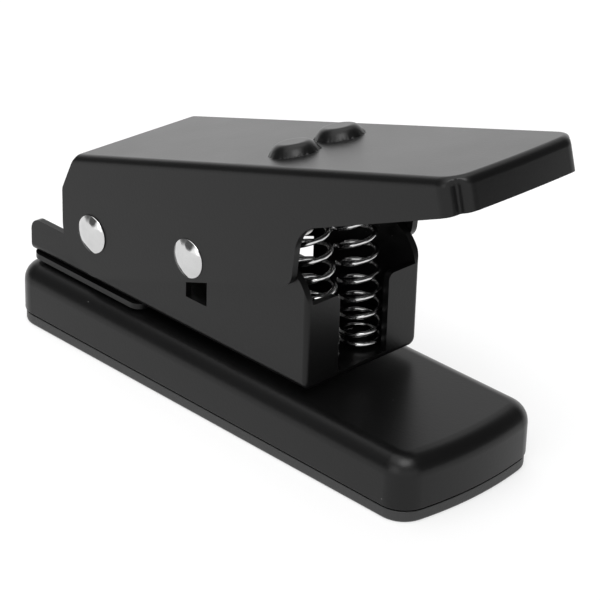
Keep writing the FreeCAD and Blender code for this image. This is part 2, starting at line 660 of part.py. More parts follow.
# ---------------------------------------------------------------- lever
def lever():
    """U-channel open underneath; its body's origin is the pivot and its X runs along the top."""
    body = new_body("lever", D["pivot_x"], 0, D["pivot_z"], D["lever_tilt"])
    half = LEVER_W / 2
    over = D["lever_over"]
    inner = D["lever_sheet"]
    behind = D["eye_round"] * PAST_EYE
    deep = over + D["eye_round"] * PAST_EYE

    plan = new_sketch(body, "lever_plan", "XY_Plane", over)
    add_outline(plan, *bowed_plan(-behind, D["lever_reach"], half, D["lever_bow"],
                                  D["lever_corner"], Size(0)))
    pad(body, plan, deep, reverse=True)

    # side outline: heel behind the pivot, deep part over the frame, shallow part to the lip
    radius = D["eye_round"]
    heel = lever_point(D["pivot_x"] - radius, D["pivot_z"] + D["heel_tall"])
    fall = (radius - D["deep_low"]) / D["deep_end"]
    lean_sin, lean_cos = sin(D["lever_tilt"]), cos(D["lever_tilt"])
    drop = radius * (fall * lean_cos + lean_sin + 1) / (lean_cos - fall * lean_sin)
    eye = (-(radius * lean_cos) - drop * lean_sin, radius * lean_sin - drop * lean_cos)
    chin = (D["deep_end"], -D["deep_low"])
    throat = (D["deep_end"] + D["deep_lean"], over - D["front_deep_rear"])
    lip = (D["lever_reach"], over - D["front_deep_tip"])
    below = -(deep + PAST)
    outline = new_sketch(body, "lever_side", "XZ_Plane")
    add_outline(outline, [
        (-behind - PAST, over + PAST), (-behind - PAST, below), (lip[0] + PAST, below),
        (lip[0] + PAST, lip[1]),
        throat, chin, eye, heel, (-D["top_back"], over), (-D["top_back"], over + PAST)])
    cut(body, outline, LEVER_W + PAST * 2, both_ways=True)
    dress(body, "lever_eye", radius * EYE_BLEND, lambda edge: passes(edge, *eye))
    dress(body, "lever_heel", D["heel_round"], lambda edge: passes(edge, *heel))
    dress(body, "lever_chin", D["deep_round"], lambda edge: passes(edge, *chin))
    dress(body, "lever_throat", D["throat_round"], lambda edge: passes(edge, *throat))
    dress(body, "lever_bends", D["lever_bend"],
          lambda edge: level_at(edge, over) and not runs_along(edge, 0, 1, 0))

    hollow = new_sketch(body, "lever_hollow", "XY_Plane", over - inner)
    add_outline(hollow, *bowed_plan(-behind - PAST, D["lever_reach"], half, D["lever_bow"],
                                    D["lever_corner"], inner))
    cut(body, hollow, deep)
    dress(body, "lever_inner_bends", D["lever_bend"] - inner,
          lambda edge: level_at(edge, over - inner) and not runs_along(edge, 0, 1, 0))

    notch = new_sketch(body, "lever_notches", "XZ_Plane")
    notch_end = D["lever_reach"] - D["lever_corner"] + D["notch_w"] / 2
    notch_top = lip[1] + D["notch_tall"]
    add_outline(notch, [(notch_end - D["notch_w"], lip[1] - PAST), (notch_end, lip[1] - PAST),
                        (notch_end - D["notch_w"] / 2, notch_top)])
    cut(body, notch, LEVER_W + PAST * 2, both_ways=True)

    holes = new_sketch(body, "lever_pivot_holes", "XZ_Plane")
    add_circle(holes, 0, 0, D["pin_d"] + D["pin_clear"] * 2)
    cut(body, holes, LEVER_W + PAST * 2, both_ways=True)
    pin = lever_point(D["pin_x"], D["pin_z"])
    cross = new_sketch(body, "lever_cross_holes", "XZ_Plane")
    add_circle(cross, pin[0], pin[1], D["pin_d"])
    cut(body, cross, LEVER_W + PAST * 2, both_ways=True)

    crown = over + D["dome_tall"]
    for side, y in (("left", -D["spring_y"]), ("right", D["spring_y"])):
        dome = new_sketch(body, f"lever_dome_{side}", "XZ_Plane", -y)
        bind(dome, "AttachmentOffset.Base.x", D["dome_x"])
        add_outline(dome, [(0, over - inner / 2), (D["dome_d"] / 2, over - inner / 2),
                           (D["dome_d"] / 2, over), (D["dome_crown"] / 2, crown), (0, crown)])
        turn(body, dome)
    dress(body, "dome_crowns", D["dome_round"],
          lambda edge: level_at(edge, crown))
    for side, y in (("left", -D["spring_y"]), ("right", D["spring_y"])):
        pocket = new_sketch(body, f"lever_pocket_{side}", "XZ_Plane", -y)
        bind(pocket, "AttachmentOffset.Base.x", D["dome_x"])
        add_outline(pocket, [(0, over - inner - PAST), (D["dome_pocket_d"] / 2, over - inner - PAST),
                             (D["dome_pocket_d"] / 2, over - inner / 2),
                             (D["dome_pocket_crown"] / 2, crown - inner), (0, crown - inner)])
        turn(body, pocket, take_away=True)
    return body


def rivet(label, x, z, under_head):
    """Round rivet across the punch with a low domed head at both ends."""
    body = new_body(label, x, 0, z)
    shank = D["pin_d"] / 2
    head = D["head_d"] / 2
    rim = under_head + D["head_rim"]
    top = under_head + D["head_tall"]
    rise = D["head_tall"] - D["head_rim"]
    ball = (square(head) + square(rise)) / (rise * 2)
    sketch = new_sketch(body, label + "_profile", "XY_Plane")
    add_outline(sketch, [
        (0, -top), (head, -rim), (head, -under_head), (shank, -under_head),
        (shank, under_head), (head, under_head), (head, rim), (0, top)],
        {0: ball, 6: ball})
    turn(body, sketch)
    return body


def sleeve(label, x, z, low_y, long):
    """Tube on a rivet, from low_y along Y."""
    body = new_body(label, x, low_y, z)
    sketch = new_sketch(body, label + "_ring", "XZ_Plane")
    add_circle(sketch, 0, 0, D["sleeve_d"])
    add_circle(sketch, 0, 0, D["pin_d"])
    pad(body, sketch, long, reverse=True)
    return body


def pivot_sleeve():
    inside = D["frame_w"] / 2 - D["frame_sheet"]
    return sleeve("pivot_sleeve", D["pivot_x"], D["pivot_z"], -inside, inside * 2)


def cross_pin_sleeves():
    """One sleeve on each side of the punch holder."""
    inside = D["frame_w"] / 2 - D["frame_sheet"] - D["sleeve_gap"]
    near_end = D["holder_d"] / 2 + D["sleeve_gap"]
    long = inside - near_end
    return [sleeve("cross_pin_sleeve_left", D["pin_x"], D["pin_z"], -inside, long),
            sleeve("cross_pin_sleeve_right", D["pin_x"], D["pin_z"], near_end, long)]


# ---------------------------------------------------------------- punch
def punch_holder():
    """Yoke with a cross slot for the front rivet and a bore for the punch."""
    body = new_body("punch_holder", PUNCH_X)
    tall = D["holder_under"] + D["pin_d"] + D["pin_clear"] * 2 + D["holder_over"]
    plan = new_sketch(body, "holder_plan", "XY_Plane", HOLDER_Z)
    add_circle(plan, 0, 0, D["holder_d"])
    pad(body, plan, tall)
    across = PIN_SWING / 2 + D["pin_d"] / 2 + D["slot_play"]
    reach = D["pin_d"] / 2 + D["pin_clear"]
    slot = new_sketch(body, "holder_slot", "XZ_Plane")
    add_outline(slot, rectangle(-across, D["pin_z"] - reach, across, D["pin_z"] + reach))
    cut(body, slot, D["holder_d"] + PAST * 2, both_ways=True)
    bore = new_sketch(body, "holder_bore", "XY_Plane", HOLDER_Z + D["holder_under"])
    add_circle(bore, 0, 0, D["punch_d"])
    cut(body, bore, D["holder_under"])
    cross_hole(body, "holder_cross_hole", D["holder_d"])
    return body


def cross_hole(body, name, wide):
    """Hole for the roll pin, along the base."""
    sketch = new_sketch(body, name, "YZ_Plane")
    add_circle(sketch, 0, HOLDER_Z + D["holder_under"] / 2, D["roll_pin_d"])
    cut(body, sketch, as_size(wide) + PAST * 2, both_ways=True)


def punch_pin():
    """Hardened punch with a shallow vee ground across its tip."""
    body = new_body("punch_pin", PUNCH_X)
    tip = FLOOR_Z + D["punch_tip"]
    plan = new_sketch(body, "punch_plan", "XY_Plane", tip)
    add_circle(plan, 0, 0, D["punch_d"])
    pad(body, plan, HOLDER_Z + D["holder_under"] - tip)
    vee = new_sketch(body, "punch_vee", "XZ_Plane")
    reach = D["punch_d"] / 2 - D["punch_land"]
    add_outline(vee, [(-reach, tip), (-reach, tip - PAST), (reach, tip - PAST), (reach, tip),
                      (0, tip + D["punch_vee_deep"])])
    cut(body, vee, D["punch_d"] + PAST * 2, both_ways=True)
    cross_hole(body, "punch_cross_hole", D["punch_d"])
    return body


def punch_retaining_pin():
    """Roll pin that locks the punch in its holder."""
    body = new_body("punch_retaining_pin", PUNCH_X)
    sketch = new_sketch(body, "retaining_pin_plan", "YZ_Plane")
    add_circle(sketch, 0, HOLDER_Z + D["holder_under"] / 2, D["roll_pin_d"])
    pad(body, sketch, D["holder_d"] - D["roll_pin_short"] * 2, both_ways=True)
    return body


def punch_guide():
    """Flanged bush in the frame floor that guides the punch."""
    bore = D["punch_d"] / 2 + D["punch_slide"]
    neck = D["guide_d"] / 2
    flange = D["guide_flange_d"] / 2
    flange_top = FLOOR_TOP + D["guide_flange"]
    return turned("punch_guide", PUNCH_X, [
        (bore, FLOOR_Z), (neck, FLOOR_Z), (neck, FLOOR_TOP), (flange, FLOOR_TOP),
        (flange, flange_top), (neck, flange_top), (neck, GUIDE_TOP), (bore, GUIDE_TOP)])


# ---------------------------------------------------------------- springs
def spring_seat(label, y):
    """Peg riveted flush into the floor; it holds the spring's lowest coil."""
    body = new_body(label, D["spring_x"], y)
    spigot = new_sketch(body, label + "_spigot", "XY_Plane", FLOOR_Z)
    add_circle(spigot, 0, 0, D["peg_spigot_d"])
    pad(body, spigot, D["frame_sheet"])
    peg = new_sketch(body, label + "_peg", "XY_Plane", FLOOR_TOP)
    add_circle(peg, 0, 0, D["seat_d"])
    pad(body, peg, D["seat_tall"])
    top = FLOOR_TOP + D["seat_tall"]
    bevel(body, label + "_top", D["seat_bevel"], lambda edge: level_at(edge, top))
    return body


def spring(label, y):
    """Return spring; it leans back so that it stands upright when the lever is down."""
    roof = D["lever_over"] - D["lever_sheet"]
    top_x, top_z = base_point(D["dome_x"], roof)
    back = D["spring_x"] - top_x
    tall = top_z - FLOOR_TOP
    lean = Size(math.degrees(math.atan2(back.value, tall.value)), f"atan({back.text} / {tall.text})")
    body = new_body(label, D["spring_x"], y, FLOOR_TOP, lean)
    sketch = new_sketch(body, label + "_wire", "XZ_Plane")
    start = D["spring_foot_gap"] + D["wire_d"] / 2
    add_circle(sketch, SPRING_R, start, D["wire_d"])
    helix = body.newObject("PartDesign::AdditiveHelix", label + "_helix")
    helix.Profile = sketch
    helix.ReferenceAxis = (sketch, ["V_Axis"])
    helix.Mode = "pitch-height-angle"
    bind(helix, "Pitch", D["spring_pitch"])
    bind(helix, "Height", root(square(back) + square(tall)) - D["spring_foot_gap"] * 2 - D["wire_d"])
    DOC.recompute()
    return body


# ---------------------------------------------------------------- assembly
def build():
    parts = [base_cover(), base_tray(), backing_plate(), die_bush(), spacer_plate(), frame(),
             mounting_screws(), mounting_washers(), mounting_nuts(), lever(),
             rivet("rear_pivot_rivet", D["pivot_x"], D["pivot_z"], LEVER_W / 2 + D["head_gap"]),
             rivet("front_cross_rivet", D["pin_x"], D["pin_z"], LEVER_W / 2),
             pivot_sleeve()]
    parts += cross_pin_sleeves()
    parts += [punch_holder(), punch_pin(), punch_retaining_pin(), punch_guide()]
    for side, y in (("left", -D["spring_y"]), ("right", D["spring_y"])):
        parts.append(spring_seat(f"spring_seat_{side}", y))
        parts.append(spring(f"spring_{side}", y))
    return parts


def check_and_write(parts):
    """Refuses a failed object, then writes one file for each sub-part."""
    for thing in DOC.Objects:
        if "Invalid" in thing.State or "Error" in thing.State:
            raise RuntimeError(f"{thing.Label} failed: {thing.State}")
    for part in parts:
        if part.Shape.isNull() or not part.Shape.isValid() or not part.Shape.Solids:
            raise RuntimeError(f"{part.Label} has no valid shape")
    os.makedirs("parts", exist_ok=True)
    for part in parts:
        part.Shape.exportStep(os.path.join("parts", part.Label + ".step"))
        box = part.Shape.BoundBox
        print(f"{part.Label:24s} {len(part.Shape.Solids)} solid  {part.Shape.Volume:9.1f} mm3  "
              f"x {box.XMin:7.2f} {box.XMax:7.2f}  y {box.YMin:7.2f} {box.YMax:7.2f}  "
              f"z {box.ZMin:6.2f} {box.ZMax:6.2f}")
    print(f"cross pin drop {PIN_DROP.value:.3f} mm over {D['travel_deg'].value:g} degrees, "
          f"arm {ARM.value:.3f} mm, punch at x {PUNCH_X.value - D['base_len'].value / 2:.3f} mm")


DOC.recompute()
check_and_write(build())
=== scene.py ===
from math import atan2, copysign, cos, exp, pi, radians, sin, sqrt

import bmesh
import bpy
from mathutils import Matrix, Vector


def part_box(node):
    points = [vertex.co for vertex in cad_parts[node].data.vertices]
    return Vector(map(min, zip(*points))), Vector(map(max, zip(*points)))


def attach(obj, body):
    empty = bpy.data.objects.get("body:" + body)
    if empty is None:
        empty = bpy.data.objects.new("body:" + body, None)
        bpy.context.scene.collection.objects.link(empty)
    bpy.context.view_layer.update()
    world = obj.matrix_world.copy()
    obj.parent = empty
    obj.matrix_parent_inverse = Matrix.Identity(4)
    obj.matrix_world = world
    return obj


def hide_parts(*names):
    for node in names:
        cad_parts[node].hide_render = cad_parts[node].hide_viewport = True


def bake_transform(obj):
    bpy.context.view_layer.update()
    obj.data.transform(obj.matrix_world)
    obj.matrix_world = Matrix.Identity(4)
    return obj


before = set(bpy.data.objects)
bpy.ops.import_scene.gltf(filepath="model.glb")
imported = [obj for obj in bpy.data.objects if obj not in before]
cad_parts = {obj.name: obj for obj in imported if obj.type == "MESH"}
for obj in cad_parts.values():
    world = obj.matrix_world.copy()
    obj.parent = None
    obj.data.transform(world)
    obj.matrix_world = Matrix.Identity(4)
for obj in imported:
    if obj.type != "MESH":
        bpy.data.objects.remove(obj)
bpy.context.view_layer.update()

MM = 0.001
SHARP = radians(35)

# ------------------------------------------------------------------ base cover
# The base's lid: 1.2 mm steel sheet drawn into a shallow pan with rounded corners and a bowed front
# end, painted satin black. The frame and its spacer plate are screwed down on its flat top.
BASE_CORNER = 6.5 * MM
BASE_BOW = 2.5 * MM
COVER_EDGE = 4.6 * MM
COVER_SHEET = 1.2 * MM
DIE_HOLE = 6 * MM
COVER_BREAK = 0.25 * MM


def arc(centre, radius, start, end, steps):
    """Points and outward normals along an arc in plan."""
    points = []
    for step in range(steps + 1):
        angle = start + (end - start) * step / steps
        normal = Vector((cos(angle), sin(angle)))
        points.append((Vector(centre) + normal * radius, normal))
    return points


def bowed_outline(rear, front, half, bow, corner, inset, closed=True, stations=(), corner_steps=8):
    """Plan outline drawn in by inset, with its normals: rounded corners, bowed front, square or open rear."""
    swing = (half * half + bow * bow) / (2 * bow)
    centre = front - swing
    corner_y = half - corner
    corner_x = centre + sqrt((swing - corner) ** 2 - corner_y ** 2)
    lean = atan2(corner_y, corner_x - centre)
    edge = half - inset
    right = [(Vector((x, -edge)), Vector((0, -1))) for x in stations]
    left = [(Vector((x, edge)), Vector((0, 1))) for x in reversed(stations)]
    nose = arc((corner_x, -corner_y), corner - inset, -pi / 2, -lean, corner_steps)
    nose += arc((centre, 0), swing - inset, -lean, lean, 12)[1:]
    nose += arc((corner_x, corner_y), corner - inset, lean, pi / 2, corner_steps)[1:]
    if not closed:
        start = [(Vector((rear, -edge)), Vector((0, -1)))]
        end = [(Vector((rear, edge)), Vector((0, 1)))]
        return start + right + nose + left + end
    heel = arc((rear + corner, corner_y), corner - inset, pi / 2, pi, 8)
    heel += arc((rear + corner, -corner_y), corner - inset, pi, 3 * pi / 2, 8)
    return right + nose + left + heel


def add_bent_walls(mesh, outline, top, bend, depth, closed, bend_steps=6):
    """Rows of vertices from the flat top over the bend and down the wall. Returns the top row."""
    rows = []
    for point, normal in outline:
        row = []
        for step in range(bend_steps + 1):
            angle = pi / 2 * step / bend_steps
            out = point + normal * bend * sin(angle)
            row.append(mesh.verts.new((out.x, out.y, top - bend * (1 - cos(angle)))))
        foot = point + normal * bend
        row.append(mesh.verts.new((foot.x, foot.y, top - depth)))
        rows.append(row)
    pairs = list(zip(rows, rows[1:]))
    if closed:
        pairs.append((rows[-1], rows[0]))
    for here, after in pairs:
        for step in range(len(here) - 1):
            mesh.faces.new((here[step], here[step + 1], after[step + 1], after[step]))
    return [row[0] for row in rows]


def make_object(name, mesh):
    """Turns the mesh into an object at the origin, smooth but for its sharp edges."""
    data = bpy.data.meshes.new(name)
    mesh.normal_update()
    mesh.to_mesh(data)
    mesh.free()
    piece = bpy.data.objects.new(name, data)
    bpy.context.collection.objects.link(piece)
    data.shade_smooth()
    data.set_sharp_from_angle(angle=SHARP)
    return piece


def add_wall(piece, thickness):
    """Gives the sheet its thickness, inward."""
    wall = piece.modifiers.new("sheet", "SOLIDIFY")
    wall.thickness = thickness
    wall.offset = -1
    wall.use_even_offset = True


def settle(piece):
    """Applies every modifier of the piece."""
    graph = bpy.context.evaluated_depsgraph_get()
    data = bpy.data.meshes.new_from_object(piece.evaluated_get(graph))
    old = piece.data
    piece.modifiers.clear()
    piece.data = data
    bpy.data.meshes.remove(old)


def cut(piece, bit, operation="DIFFERENCE", folded=False):
    """Cuts the bit out of the piece, or trims the piece to it; folded is for a sheet that meets itself."""
    cutter = piece.modifiers.new("cut", "BOOLEAN")
    cutter.operation = operation
    cutter.solver = "EXACT"
    cutter.use_self = folded
    cutter.object = bit
    settle(piece)
    bpy.data.objects.remove(bit)


def soften(piece, width, segments=2):
    """Breaks the sharp edges, as paint and pressing do, and keeps flat faces flat in the light."""
    edge = piece.modifiers.new("edges", "BEVEL")
    edge.width = width
    edge.segments = segments
    edge.limit_method = "ANGLE"
    edge.angle_limit = radians(40)
    edge.harden_normals = False
    shade = piece.modifiers.new("shade", "WEIGHTED_NORMAL")
    shade.keep_sharp = True
    shade.weight = 60


def node_box(node):
    """Lowest and highest corner of a CAD node."""
    low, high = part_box(node)
    return Vector(low), Vector(high)


def new_material(name):
    """New node material. Returns it with its nodes, its links, its shader and its coordinates node."""
    material = bpy.data.materials.new(name)
    material.use_nodes = True
    nodes = material.node_tree.nodes
    return material, nodes, material.node_tree.links, nodes["Principled BSDF"], nodes.new("ShaderNodeTexCoord")


def black_paint(name, tone, rough, grain):
    """Satin black stove paint: nearly black, faint orange peel, uneven gloss and a few specks of dust."""
    material, nodes, links, shader, place = new_material(name)
    cloud = nodes.new("ShaderNodeTexNoise")
    cloud.inputs["Scale"].default_value = 45
    cloud.inputs["Detail"].default_value = 3
    peel = nodes.new("ShaderNodeTexNoise")
    peel.inputs["Scale"].default_value = 1500
    peel.inputs["Detail"].default_value = 2
    gloss = nodes.new("ShaderNodeMapRange")
    gloss.inputs["To Min"].default_value = rough - 0.03
    gloss.inputs["To Max"].default_value = rough + 0.04
    shade = nodes.new("ShaderNodeMix")
    shade.data_type = "RGBA"
    shade.inputs["A"].default_value = (tone * 0.85, tone * 0.85, tone * 0.88, 1)
    shade.inputs["B"].default_value = (tone * 1.2, tone * 1.2, tone * 1.22, 1)
    bump = nodes.new("ShaderNodeBump")
    bump.inputs["Strength"].default_value = grain
    bump.inputs["Distance"].default_value = 0.00005
    links.new(place.outputs["Object"], cloud.inputs["Vector"])
    links.new(place.outputs["Object"], peel.inputs["Vector"])
    links.new(cloud.outputs["Fac"], gloss.inputs["Value"])
    links.new(cloud.outputs["Fac"], shade.inputs["Factor"])
    dust = nodes.new("ShaderNodeTexVoronoi")
    dust.inputs["Scale"].default_value = 260
    speck = nodes.new("ShaderNodeMapRange")
    speck.inputs["From Min"].default_value = 0.05
    speck.inputs["From Max"].default_value = 0.02
    chance = nodes.new("ShaderNodeSeparateColor")
    few = nodes.new("ShaderNodeMath")
    few.operation = "GREATER_THAN"
    few.inputs[1].default_value = 0.8
    seen = nodes.new("ShaderNodeMath")
    seen.operation = "MULTIPLY"
    dusty = nodes.new("ShaderNodeMix")
    dusty.data_type = "RGBA"
    dusty.inputs["B"].default_value = (0.09, 0.09, 0.09, 1)
    links.new(place.outputs["Object"], dust.inputs["Vector"])
    links.new(dust.outputs["Distance"], speck.inputs["Value"])
    links.new(dust.outputs["Color"], chance.inputs["Color"])
    links.new(chance.outputs["Red"], few.inputs[0])
    links.new(speck.outputs["Result"], seen.inputs[0])
    links.new(few.outputs["Value"], seen.inputs[1])
    links.new(seen.outputs["Value"], dusty.inputs["Factor"])
    links.new(shade.outputs["Result"], dusty.inputs["A"])
    links.new(dusty.outputs["Result"], shader.inputs["Base Color"])
    links.new(gloss.outputs["Result"], shader.inputs["Roughness"])
    links.new(peel.outputs["Fac"], bump.inputs["Height"])
    links.new(bump.outputs["Normal"], shader.inputs["Normal"])
    shader.inputs["IOR"].default_value = 1.33
    return material


cover_paint = black_paint("satin_black_paint", tone=0.003, rough=0.3, grain=0.3)
cover_low, cover_high = node_box("base_cover")
mesh = bmesh.new()
outline = bowed_outline(cover_low.x, cover_high.x, cover_high.y, BASE_BOW, BASE_CORNER, COVER_EDGE)
top_row = add_bent_walls(mesh, outline, cover_high.z, COVER_EDGE, cover_high.z - cover_low.z, True, 8)
mesh.faces.new(top_row)
cover = make_object("cover_shell", mesh)
add_wall(cover, COVER_SHEET)
settle(cover)
die_low, die_high = node_box("die_bush")
bpy.ops.mesh.primitive_cylinder_add(vertices=48, radius=DIE_HOLE, depth=4 * COVER_SHEET,
                                    location=((die_low.x + die_high.x) / 2, 0, cover_high.z))
cut(cover, bpy.context.object)
soften(cover, COVER_BREAK)
cover.data.materials.append(cover_paint)
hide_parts("base_cover")
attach(cover, "base")

# ------------------------------------------------------------------ chip tray
# The snap-on plastic tray that closes the base and catches the punched discs. One moulding: a flat
# floor, a low outer wall under the cover's edge and a rim that plugs into the cover, swept round the
# base's own outline. Matt black plastic with a fine moulded grain.
TRAY_INSET = 0.3 * MM
TRAY_EDGE = 0.8 * MM
TRAY_WALL_TOP = 2.75 * MM
TRAY_RIM_INSET = 1.35 * MM
TRAY_RIM_WALL = 1.4 * MM
TRAY_FLOOR = 1.6 * MM


def sweep_profile(mesh, plan, profile, low_cap, high_cap):
    """Sweeps a profile of (inset, height) points round closed plan outlines and caps both ends."""
    rows = []
    for inset, height in profile:
        rows.append([mesh.verts.new((spot.x, spot.y, height)) for spot, _ in plan(inset)])
    for here, after in zip(rows, rows[1:]):
        for index in range(len(here)):
            step = (index + 1) % len(here)
            mesh.faces.new((here[index], here[step], after[step], after[index]))
    if low_cap:
        mesh.faces.new(list(reversed(rows[0])))
    if high_cap:
        mesh.faces.new(rows[-1])
    bmesh.ops.recalc_face_normals(mesh, faces=mesh.faces)


def moulded_plastic(name, tone, rough, grain):
    """Matt moulded plastic: a fine pebbled grain, slightly uneven gloss and faint dust in the grain."""
    material, nodes, links, shader, place = new_material(name)
    pebble = nodes.new("ShaderNodeTexVoronoi")
    pebble.inputs["Scale"].default_value = 2600
    haze = nodes.new("ShaderNodeTexNoise")
    haze.inputs["Scale"].default_value = 60
    haze.inputs["Detail"].default_value = 4
    shade = nodes.new("ShaderNodeMix")
    shade.data_type = "RGBA"
    shade.inputs["A"].default_value = (tone * 0.8, tone * 0.8, tone * 0.82, 1)
    shade.inputs["B"].default_value = (tone * 1.3, tone * 1.3, tone * 1.3, 1)
    gloss = nodes.new("ShaderNodeMapRange")
    gloss.inputs["To Min"].default_value = rough - 0.04
    gloss.inputs["To Max"].default_value = rough + 0.06
    bump = nodes.new("ShaderNodeBump")
    bump.inputs["Strength"].default_value = grain
    bump.inputs["Distance"].default_value = 0.0001
    links.new(place.outputs["Object"], pebble.inputs["Vector"])
    links.new(place.outputs["Object"], haze.inputs["Vector"])
    links.new(haze.outputs["Fac"], shade.inputs["Factor"])
    links.new(haze.outputs["Fac"], gloss.inputs["Value"])
    links.new(shade.outputs["Result"], shader.inputs["Base Color"])
    links.new(gloss.outputs["Result"], shader.inputs["Roughness"])
    links.new(pebble.outputs["Distance"], bump.inputs["Height"])
    links.new(bump.outputs["Normal"], shader.inputs["Normal"])
    shader.inputs["IOR"].default_value = 1.48
    return material


def base_plan(inset):
    """Outline of the base drawn in by inset."""
    return bowed_outline(cover_low.x, cover_high.x, cover_high.y, BASE_BOW, BASE_CORNER, inset)


tray_low, tray_high = node_box("base_tray")
tray_profile = [(TRAY_INSET + TRAY_EDGE * (1 - sin(turn_in)), TRAY_EDGE * (1 - cos(turn_in)))
                for turn_in in (0, pi / 8, pi / 4, 3 * pi / 8, pi / 2)]
tray_profile += [
    (TRAY_INSET, TRAY_WALL_TOP), (TRAY_RIM_INSET, TRAY_WALL_TOP), (TRAY_RIM_INSET, tray_high.z),
    (TRAY_RIM_INSET + TRAY_RIM_WALL, tray_high.z), (TRAY_RIM_INSET + TRAY_RIM_WALL, TRAY_FLOOR)]
mesh = bmesh.new()
sweep_profile(mesh, base_plan, tray_profile, True, True)
tray = make_object("tray_moulding", mesh)
soften(tray, 0.12 * MM)
tray.data.materials.append(moulded_plastic("black_moulded_plastic", tone=0.018, rough=0.5, grain=0.35))
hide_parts("base_tray")
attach(tray, "tray")

# ------------------------------------------------------------------ backing plate, die and spacer
# Inside the lid: the zinc-plated backing plate that takes the screws, and the hardened die bush the
# punch enters. On top of the lid: the painted spacer plate that carries the frame and stops the
# paper. These three keep their CAD bodies.


def bare_metal(name, tone, rough, scratch, tint=(1, 1, 1), grain=(400, 9000, 1400), relief=0.00003):
    """Plated or ground metal: cloudy plating and fine scratches, or small dents with an even grain."""
    material, nodes, links, shader, place = new_material(name)
    cloud = nodes.new("ShaderNodeTexNoise")
    cloud.inputs["Scale"].default_value = 220
    cloud.inputs["Detail"].default_value = 4
    stretch = nodes.new("ShaderNodeMapping")
    stretch.inputs["Scale"].default_value = grain
    stretch.inputs["Rotation"].default_value = (0.4, 0.3, 0.7)
    hair = nodes.new("ShaderNodeTexNoise")
    hair.inputs["Scale"].default_value = 1
    hair.inputs["Detail"].default_value = 2
    shade = nodes.new("ShaderNodeMix")
    shade.data_type = "RGBA"
    low, high = tone * 0.82, min(1, tone * 1.1)
    shade.inputs["A"].default_value = (low * tint[0], low * tint[1], low * tint[2], 1)
    shade.inputs["B"].default_value = (high * tint[0], high * tint[1], high * tint[2], 1)
    gloss = nodes.new("ShaderNodeMapRange")
    gloss.inputs["To Min"].default_value = max(0.02, rough - 0.05)
    gloss.inputs["To Max"].default_value = rough + 0.08
    bump = nodes.new("ShaderNodeBump")
    bump.inputs["Strength"].default_value = scratch
    bump.inputs["Distance"].default_value = relief
    links.new(place.outputs["Object"], cloud.inputs["Vector"])
    links.new(place.outputs["Object"], stretch.inputs["Vector"])
    links.new(stretch.outputs["Vector"], hair.inputs["Vector"])
    links.new(cloud.outputs["Fac"], shade.inputs["Factor"])
    links.new(cloud.outputs["Fac"], gloss.inputs["Value"])
    links.new(shade.outputs["Result"], shader.inputs["Base Color"])
    links.new(gloss.outputs["Result"], shader.inputs["Roughness"])
    links.new(hair.outputs["Fac"], bump.inputs["Height"])
    links.new(bump.outputs["Normal"], shader.inputs["Normal"])
    shader.inputs["Metallic"].default_value = 1
    return material


def finish_node(name, material, edge=0):
    """Gives a CAD node its material and, where edge is set, a small broken edge."""
    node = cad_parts[name]
    node.data.materials.clear()
    node.data.materials.append(material)
    if edge:
        soften(node, edge)


zinc = bare_metal("zinc_plated_steel", tone=0.62, rough=0.3, scratch=0.2, tint=(1, 0.99, 0.96))
tool_steel = bare_metal("ground_tool_steel", tone=0.5, rough=0.22, scratch=0.25, tint=(0.98, 0.99, 1))
finish_node("backing_plate", zinc)
finish_node("die_bush", tool_steel)
finish_node("spacer_plate", cover_paint, 0.2 * MM)

# ------------------------------------------------------------------ frame
# One piece of 1.6 mm sheet bent into a channel: low tail, sides rising to the front, two inward
# flanges at the open front and a window each side for the cross pin. Painted with the rest; it
# keeps its CAD body, with the sheared edges broken.
frame_paint = black_paint("frame_black_paint", tone=0.003, rough=0.32, grain=0.35)
finish_node("frame", frame_paint, 0.18 * MM)

# ------------------------------------------------------------------ mounting screws, washers and nuts
# Four slotted zinc-plated screws hold frame, spacer and lid to the backing plate, each with a plain
# washer under its head and a hexagon nut below the plate. They keep their CAD bodies.
finish_node("mounting_screws", zinc, 0.12 * MM)
finish_node("mounting_washers", zinc, 0.08 * MM)
finish_node("mounting_nuts", zinc, 0.12 * MM)

# ------------------------------------------------------------------ punch, its guide and its holder
# Hardened punch pin with a V-cut end, ground bright, sliding in a turned guide riveted into the
# frame's floor; a turned holder pinned to it hangs on the cross pin. They keep their CAD bodies.
finish_node("punch_guide", tool_steel, 0.1 * MM)
finish_node("punch_pin", tool_steel)
turned_steel = bare_metal("bright_turned_steel", tone=0.58, rough=0.26, scratch=0.4)
finish_node("punch_holder", turned_steel, 0.15 * MM)
finish_node("punch_retaining_pin", tool_steel)

# ------------------------------------------------------------------ lever
# The long handle: 1.6 mm sheet pressed into a channel, with two domes in its top for the springs, deep
# sides over the frame, and a pressed dart at each end of its bowed front lip. Built in its own frame
# (along the top, across, and up from the pivot), then laid at its resting slope.
PIVOT = Vector((-38.0, 0, 30.7)) * MM
LEVER_SLOPE = radians(16)
LEVER_OVER = 18.26 * MM
LEVER_REACH = 118.8 * MM
LEVER_HALF = 18.85 * MM
LEVER_SHEET = 1.6 * MM
LEVER_BEND = 2.0 * MM
LEVER_CORNER = 6 * MM
LEVER_BOW = 1 * MM
EYE = 10.6 * MM
EYE_BLEND = 0.97
HEEL_TALL = 7.9 * MM
HEEL_ROUND = 3 * MM
TOP_BACK = 1.2 * MM
DEEP_END = 65.1 * MM
DEEP_LOW = 7.2 * MM
DEEP_LEAN = 5.2 * MM
DEEP_ROUND = 4 * MM
THROAT_ROUND = 9 * MM
DEPTH_THROAT = 12.8 * MM
DEPTH_LIP = 7.2 * MM
DOME_ALONG = 59.6 * MM
DOME_ACROSS = 6.7 * MM
DOME_TALL = 2.35 * MM
DOME_FOOT = 5.6 * MM
DOME_CROWN = 2.9 * MM
DART_DEEP = 1.6 * MM
DART_WIDE = 1.35 * MM
DART_LOW = 0.1
GRID = 0.4 * MM
GRID_START = 7.6 * MM
GRID_ROWS = 39
